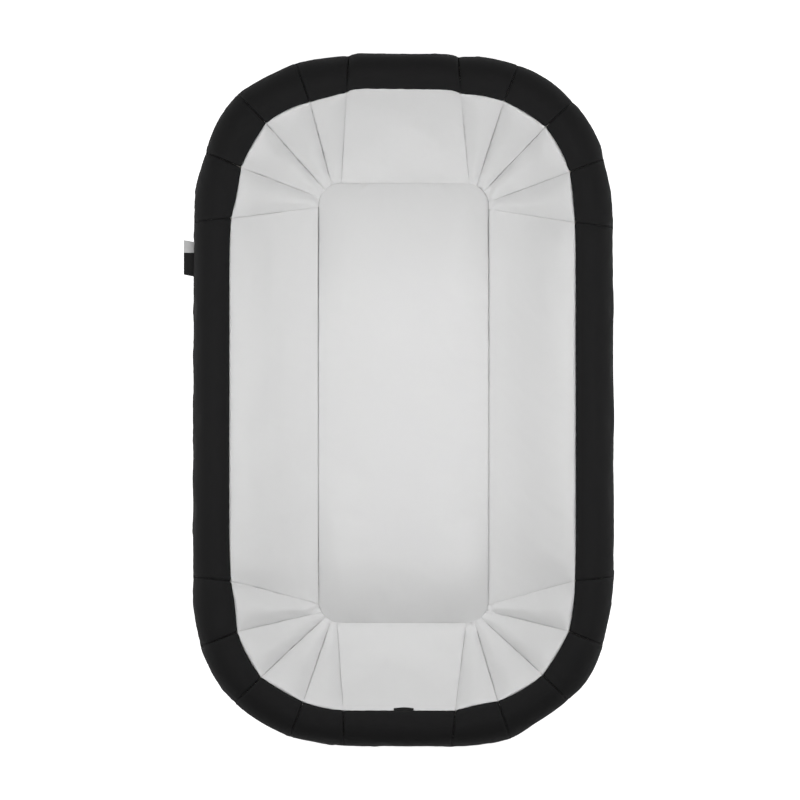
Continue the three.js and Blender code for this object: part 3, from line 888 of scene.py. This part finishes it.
# Foam: a slab under the floor pad and a core in each wall
core_low, core_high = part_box("floor_core")
CORE_ROUND = 1.2 * MM
CORE_CHAMFER = 0.3 * CORE_ROUND
core_rings = []
for inset, height in (
    (CORE_ROUND, core_low.z),
    (CORE_CHAMFER, core_low.z + CORE_CHAMFER),
    (0, core_low.z + CORE_ROUND),
    (0, core_high.z - CORE_ROUND),
    (CORE_CHAMFER, core_high.z - CORE_CHAMFER),
    (CORE_ROUND, core_high.z),
):
    radius = PAD_RADIUS - GAP - inset
    core_rings.append((core_high.x - inset, core_high.y - inset, radius, height))
floor_foam = stacked_rings("floor_core_foam", core_rings, middle=PAD_SHIFT)
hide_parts("floor_core")
foam_pieces.append(floor_foam)

# How far the wall cores keep from the cloth above them and from the zip
CORE_CLEARANCE = 3.2 * MM
ZIP_ALLOWANCE = 3.5 * MM
STRAIGHT_STATIONS, WEDGE_STATIONS = 40, 6


def add_core(name, first, last):
    """The foam inside a wall, its rim and its skirt, from the first panel to before the last."""
    outer_top = WALL_WIDTH + RIM_WIDTH - RIM_THICKNESS - ZIP_ALLOWANCE
    outer_bottom = WALL_WIDTH + RIM_WIDTH - SKIRT_INSET - SKIRT_THICKNESS - ZIP_ALLOWANCE
    place, normal = rim_section(np.array([math.pi / 4]))
    shoulder = place[0] - normal[0] * (RIM_THICKNESS + ZIP_ALLOWANCE)
    share = np.linspace(0, 1, 5)
    out = np.maximum(share * WALL_WIDTH, CORE_CLEARANCE)
    height = wall_height(share * WALL_WIDTH) - END_DROP * (1 - share)
    section = np.array([
        *np.stack([out, height - (WALL_UNDER + CORE_CLEARANCE)], -1),
        [WALL_WIDTH + RIM_TOP_INSET, RIM_TOP - RIM_THICKNESS - CORE_CLEARANCE],
        [WALL_WIDTH + shoulder[0], shoulder[1]],
        [outer_top, EDGE_SEAM],
    ])
    beyond = np.clip(section[:, 0] - WALL_WIDTH, 0, None) / (outer_top - WALL_WIDTH)
    foot = np.where(beyond > 0, lerp(WALL_WIDTH, outer_bottom, beyond), section[:, 0])
    ground = np.full(len(foot), COVER_FLOOR)
    tops, feet = [], []
    for panel in range(first, last):
        count = STRAIGHT_STATIONS if is_straight(panel) else WEDGE_STATIONS
        shares = np.arange(count + (panel == last - 1)) / count
        for rows, heights, kept in ((*section.T, tops), (foot, ground, feet)):
            kept.append(at_height(plan(panel, shares, rows)[0], heights))
    top, bottom = np.concatenate(tops), np.concatenate(feet)
    piece = closed_piece(f"{name}_foam", top, bottom, top[..., :2])
    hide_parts(name)
    foam_pieces.append(piece)


add_core("head_wall_core", 0, 9)
add_core("left_wall_core", 9, 10)
add_core("foot_wall_core", 10, 19)
add_core("right_wall_core", 19, 20)

# Labels: bare ribbon, folded double and sewn into its seam. The flag label is sewn in a little
# askew, and runs on into the fold of its seam.
LABEL_THICKNESS = 0.9 * MM
FOLD_SHARE = 0.07
FLAG_SKEW = 0.2
FLAG_SHIFT = -1.2 * MM
RIBBON_POINTS = (14, 36)
TUCK = 2.4 * MM
CARE_REACH = 0.7
flag_low, flag_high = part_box("flag_label")
care_low, care_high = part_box("care_label")


def ribbon(name, node, start, out_way, along_way, reach, length, skew, droop):
    """A folded ribbon, as a flat closed loop that leaves its seam at start, along out_way."""
    rows, lines = (np.linspace(0, 1, count) for count in RIBBON_POINTS)
    out, line = np.meshgrid(reach * rows, lines - 0.5, indexing="ij")
    along = line * length + skew * out
    share = out / reach
    fold = np.clip((share - (1 - FOLD_SHARE)) / FOLD_SHARE, 0, 0.995)
    half = LABEL_THICKNESS / 2 * np.sqrt(1 - fold**2)
    middle = start + np.multiply.outer(out, out_way) + np.multiply.outer(along, along_way)
    top, under = middle.copy(), middle.copy()
    top[..., 2] += droop(share, line) + half
    under[..., 2] += droop(share, line) - half
    piece = closed_piece(name, top, under, np.stack([out, along], -1))
    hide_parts(node)
    return piece


def flag_droop(share, line):
    """The flag label sinks towards its fold, and its fold is wavy."""
    return -1.2 * MM * share**2 + 0.5 * MM * share * np.sin(7 * line)


def care_droop(share, line):
    """The care label lies down the slope, with a slight arch."""
    return -5.2 * MM * share + 0.5 * MM * np.sin(math.pi * share)


flag_middle = (flag_low + flag_high) / 2
flag = ribbon(
    "flag_label_ribbon",
    "flag_label",
    start=(flag_high.x + TUCK, flag_middle.y + FLAG_SHIFT, flag_middle.z),
    out_way=(-1, 0, 0),
    along_way=(0, 1, 0),
    reach=flag_high.x + TUCK - flag_low.x,
    length=flag_high.y - flag_low.y,
    skew=FLAG_SKEW,
    droop=flag_droop,
)
care = ribbon(
    "care_label_ribbon",
    "care_label",
    start=(0, care_low.y - 0.2 * MM, care_high.z - 0.8 * MM),
    out_way=(0, 1, 0),
    along_way=(1, 0, 0),
    reach=CARE_REACH * (care_high.y - care_low.y),
    length=care_high.x - care_low.x,
    skew=0,
    droop=care_droop,
)

# Zip: the tape is a woven strip that runs on past its stops to the ends of the zip's channel, and
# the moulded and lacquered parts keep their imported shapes
TAPE_HALF = CHANNEL_HALF + 2 * MM
TAPE_RIPPLE = 0.15 * MM
TAPE_WAVES = 260
TAPE_ROWS, TAPE_LINES = 12, 140
tape_low, tape_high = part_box("zip_tape")
rows = np.linspace(0, 1, TAPE_ROWS)
lines = np.linspace(0, 1, TAPE_LINES)
tape_y = lerp(-TAPE_HALF, TAPE_HALF, lines)[:, None] + 0 * rows[None, :]
tape_z = lerp(tape_high.z, tape_low.z, rows)[None, :] + 0 * tape_y
ripple = TAPE_RIPPLE * np.sin(tape_y * TAPE_WAVES) * np.abs(2 * rows - 1)[None, :]
top = np.stack([tape_high.x - TAPE_RIPPLE + ripple, tape_y, tape_z], -1)
under = np.stack([np.full_like(tape_y, tape_low.x), tape_y, tape_z], -1)
tape = closed_piece("zip_tape_cloth", top, under, np.stack([tape_y, tape_z], -1))
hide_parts("zip_tape")


# Materials
class Nodes:
    """Short calls for the nodes of a material or a world."""

    def __init__(self, owner, shader="Principled BSDF"):
        owner.use_nodes = True
        self.owner = owner
        self.tree = owner.node_tree
        self.shader = self.tree.nodes[shader]

    def new(self, kind, **settings):
        node = self.tree.nodes.new(kind)
        for key, value in settings.items():
            setattr(node, key, value)
        return node

    def put(self, value, socket):
        if isinstance(value, bpy.types.NodeSocket):
            self.tree.links.new(value, socket)
        else:
            socket.default_value = value

    def math(self, operation, a, b=0.5, c=0.5):
        node = self.new("ShaderNodeMath", operation=operation)
        for value, socket in zip((a, b, c), node.inputs):
            self.put(value, socket)
        return node.outputs[0]

    def sine(self, value, length):
        return self.math("SINE", self.math("MULTIPLY", value, 2 * math.pi / length))

    def feed(self, node, **values):
        """Puts each value into the node's input of that name, and returns the node's outputs."""
        for key, value in values.items():
            self.put(value, node.inputs[key.replace("_", " ")])
        return node.outputs

    def set(self, **values):
        self.feed(self.shader, **values)

    def noise(self, where, scale, detail=3.0, roughness=0.5):
        node = self.new("ShaderNodeTexNoise")
        self.feed(node, Vector=where, Scale=scale, Detail=detail, Roughness=roughness)
        return node.outputs["Fac"]

    def ramp(self, value, low_value, high_value):
        node = self.new("ShaderNodeMapRange")
        return self.feed(node, Value=value, To_Min=low_value, To_Max=high_value)["Result"]

    def shade(self, colour, factor):
        """The colour times a varying grey factor."""
        node = self.new("ShaderNodeVectorMath", operation="SCALE")
        self.put(colour, node.inputs[0])
        self.set(Base_Color=self.feed(node, Scale=factor)[0])

    def bump(self, height, distance, strength):
        node = self.new("ShaderNodeBump")
        self.set(Normal=self.feed(node, Distance=distance, Strength=strength, Height=height)[0])

    def weave(self):
        """A point's place in its cloth, and that place's two parts."""
        node = self.new("ShaderNodeAttribute", attribute_name="weave")
        split = self.new("ShaderNodeSeparateXYZ")
        self.put(node.outputs["Vector"], split.inputs[0])
        return node.outputs["Vector"], split.outputs[0], split.outputs[1]

    def place(self):
        return self.new("ShaderNodeTexCoord").outputs["Object"]

    def seen(self):
        """1 for rays from the camera and those that glossy or clear surfaces send on, else 0."""
        rays = self.new("ShaderNodeLightPath").outputs
        seen = self.math("MAXIMUM", rays["Is Camera Ray"], rays["Is Glossy Ray"])
        return self.math("MAXIMUM", seen, rays["Is Transmission Ray"])


def material_nodes(name):
    return Nodes(bpy.data.materials.new(name))


# The knit's columns and rows of stitches, and how far a stitch's V bends in its column
WALE, COURSE = 1.0 * MM, 0.8 * MM
STITCH_BEND = 0.55
# Sizes of fuzz, drift in shade, foam cells and ribs
FUZZ_SCALE = 2600
DRIFT_SCALE = 9
CELL_SCALE = 900
RIB, CROSS_RIB = 0.45 * MM, 0.35 * MM


def knit(name, colour, depth, painted_stitch_shade, roughness, gloss):
    """A fine weft knit: columns of V-shaped stitches, a little fuzz and a slow random drift in
    tone, with painted shade in the grooves between the stitches and a painted highlight on their
    ridges.
    """
    n = material_nodes(name)
    vector, u, v = n.weave()
    column = n.math("FRACT", n.math("MULTIPLY", u, 1 / WALE))
    aside = n.math("MULTIPLY", n.math("ABSOLUTE", n.math("SUBTRACT", column, 0.5)), 2.0)
    bend = n.math("MULTIPLY", aside, STITCH_BEND)
    phase = n.math("ADD", n.math("MULTIPLY", v, 1 / COURSE), bend)
    ridge = n.math("MULTIPLY_ADD", n.sine(phase, 1), 0.5, 0.5)
    groove = n.math("SUBTRACT", 1.0, n.math("POWER", aside, 4.0))
    stitch = n.math("MULTIPLY", ridge, groove)
    fuzz = n.noise(vector, FUZZ_SCALE, 2.0)
    height = n.math("ADD", n.math("MULTIPLY", stitch, 0.75), n.math("MULTIPLY", fuzz, 0.35))
    drift = n.ramp(n.noise(n.place(), DRIFT_SCALE), 0.985, 1.015)
    # Painted shade and highlight: the colour is darker where the stitches are low, in their
    # grooves, and a little lighter on their ridges.
    n.shade(colour, n.math("MULTIPLY", n.ramp(stitch, 1 - painted_stitch_shade, 1 + painted_stitch_shade / 3), drift))
    n.bump(height, depth, 0.55)
    rough = n.ramp(fuzz, roughness - 0.05, roughness + 0.05)
    n.set(Roughness=rough, Specular_IOR_Level=gloss, IOR=1.6)
    return n.owner


def foam_material():
    n = material_nodes("foam")
    cells = n.new("ShaderNodeTexVoronoi")
    distance = n.feed(cells, Vector=n.place(), Scale=CELL_SCALE)["Distance"]
    # Painted shade: the colour is darker towards the middle of each foam cell, where the bump makes
    # a hollow, and lighter towards the cell walls.
    n.shade((0.82, 0.79, 0.70), n.ramp(distance, 0.86, 1.04))
    n.bump(distance, 0.3 * MM, 0.6)
    n.set(Roughness=0.95)
    return n.owner


def ribbon_material(name, colour, band=None, edge=0):
    """A ribbed satin ribbon, with painted shade in its ribs' troughs and a painted highlight on
    their crests. A band is another colour beyond an edge along the ribbon's length.
    """
    n = material_nodes(name)
    _, u, v = n.weave()
    rib = n.math("MULTIPLY_ADD", n.sine(u, RIB), 0.5, 0.5)
    cross = n.math("MULTIPLY_ADD", n.sine(v, CROSS_RIB), 0.25, 0.75)
    height = n.math("MULTIPLY", rib, cross)
    if band is not None:
        mix = n.new("ShaderNodeMix", data_type="RGBA")
        beyond = n.math("GREATER_THAN", v, edge)
        colour = n.feed(mix, Factor=beyond, A=(*colour, 1), B=(*band, 1))["Result"]
    # Painted shade and highlight: the colour is darker in the troughs of the ribs and a little
    # lighter on their crests.
    n.shade(colour, n.ramp(height, 0.9, 1.05))
    n.bump(height, 0.06 * MM, 0.5)
    n.set(Roughness=0.7, Specular_IOR_Level=0.15)
    return n.owner


def hard_material(name, colour, roughness, grain, depth, coat=0.0):
    n = material_nodes(name)
    speck = n.noise(n.place(), grain, 4.0, 0.6)
    n.shade(colour, n.ramp(speck, 0.85, 1.15))
    n.bump(speck, depth, 0.4)
    rough = n.ramp(speck, roughness - 0.05, roughness + 0.08)
    n.set(Roughness=rough, Coat_Weight=coat, Coat_Roughness=0.15)
    return n.owner


def grey(level):
    return (level, level, level)


def dress(objects, material):
    for obj in objects:
        obj.data.materials.clear()
        obj.data.materials.append(material)


# The fourth value of each knit is how strongly painted shade darkens its stitches' grooves.
grey_knit = knit("grey_knit", grey(0.60), 0.10 * MM, 0.05, roughness=0.6, gloss=0.9)
black_knit = knit(
    "black_knit", (0.0138, 0.0138, 0.0141), 0.12 * MM, 0.25, roughness=0.9, gloss=0.05
)
flag_material = ribbon_material("flag_ribbon", grey(0.004), band=grey(0.55), edge=9 * MM)
dress(grey_pieces, grey_knit)
dress(black_pieces, black_knit)
dress(foam_pieces, foam_material())
dress([flag], flag_material)
dress([care], ribbon_material("care_ribbon", grey(0.004)))
dress([tape], ribbon_material("zip_ribbon", grey(0.014)))

EDGE_BEVEL = 0.18 * MM
BEVEL_ANGLE = math.radians(35)
plastic = hard_material("satin_plastic", grey(0.011), 0.42, 3000, 0.02 * MM)
lacquer = hard_material("black_lacquer", (0.02, 0.02, 0.021), 0.3, 1500, 0.01 * MM, 0.6)
for node, material in (
    ("zip_teeth", plastic),
    ("zip_stop_head", plastic),
    ("zip_stop_foot", plastic),
    ("zip_slider", lacquer),
    ("zip_pull", lacquer),
):
    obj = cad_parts[node]
    obj.data.materials.clear()
    obj.data.materials.append(material)
    bevel = obj.modifiers.new("soft_edges", "BEVEL")
    bevel.width = EDGE_BEVEL
    bevel.segments = 2
    bevel.limit_method = "ANGLE"
    bevel.angle_limit = BEVEL_ANGLE


# Stage: the floor lies a hair below the object's flat underside. It and the world are white to look
# at, and give the object only a little light.
FLOOR_LEVEL = -0.2 * MM
STAGE_HALF = 9
STAGE_WHITE, STAGE_GLOW = 0.82, 0.92
AMBIENT = 0.05


def stage_floor():
    corners = ((-1, -1), (1, -1), (1, 1), (-1, 1))
    points = np.array([[x * STAGE_HALF, y * STAGE_HALF, FLOOR_LEVEL] for x, y in corners])
    floor = make_mesh("stage_floor", points, [[0, 1, 2, 3]])
    n = material_nodes("stage_white")
    n.set(Base_Color=(*grey(STAGE_WHITE), 1), Roughness=0.9, Emission_Color=(1, 1, 1, 1))
    n.set(Emission_Strength=n.math("MULTIPLY", n.seen(), STAGE_GLOW))
    floor.data.materials.append(n.owner)


stage_floor()
world = Nodes(bpy.data.worlds.new("studio"), "Background")
world.set(Color=(1, 1, 1, 1), Strength=world.ramp(world.seen(), AMBIENT, 1.0))
bpy.context.scene.world = world.owner


def area_lamp(name, location, aim, size, power):
    data = bpy.data.lights.new(name, "AREA")
    data.shape = "RECTANGLE"
    data.size, data.size_y = size
    data.energy = power
    obj = add_object(name, data)
    obj.location = location
    obj.rotation_mode = "QUATERNION"
    obj.rotation_quaternion = (Vector(aim) - Vector(location)).to_track_quat("-Z", "Y")
    obj.visible_camera = False


# Each lamp's place, the point it is aimed at, its size in metres and its power in watts
for name, *lamp in (
    ("overhead_lamp", (0, 0.08, 1.2), (0, 0.08, 0), (0.3, 0.3), 5.0),
    ("right_lamp", (0.85, 0, 0.75), (0, 0, 0.05), (0.3, 0.9), 5.4),
    ("left_lamp", (-0.85, 0, 0.75), (0, 0, 0.05), (0.3, 0.9), 5.1),
    ("head_lamp", (0, 1.15, 0.62), (0, 0.3, 0.1), (0.6, 0.3), 2.4),
    ("foot_lamp", (0, -1.15, 0.62), (0, -0.3, 0.1), (0.6, 0.3), 1.4),
):
    area_lamp(name, *lamp)

# The camera looks straight down from far off, a little left of the middle, as in the photograph
CAMERA_HEIGHT = 10
CAMERA_ASIDE = -4.9 * MM
FRAME_WIDTH = 1.0638
SENSOR_WIDTH = 36
camera_data = bpy.data.cameras.new("camera")
camera = add_object("camera", camera_data)
camera_data.sensor_width = SENSOR_WIDTH
camera_data.lens = SENSOR_WIDTH * (CAMERA_HEIGHT - EDGE_SEAM) / FRAME_WIDTH
camera.location = (CAMERA_ASIDE, 0, CAMERA_HEIGHT)
bpy.context.scene.camera = camera
bpy.context.scene.view_settings.view_transform = "Standard"
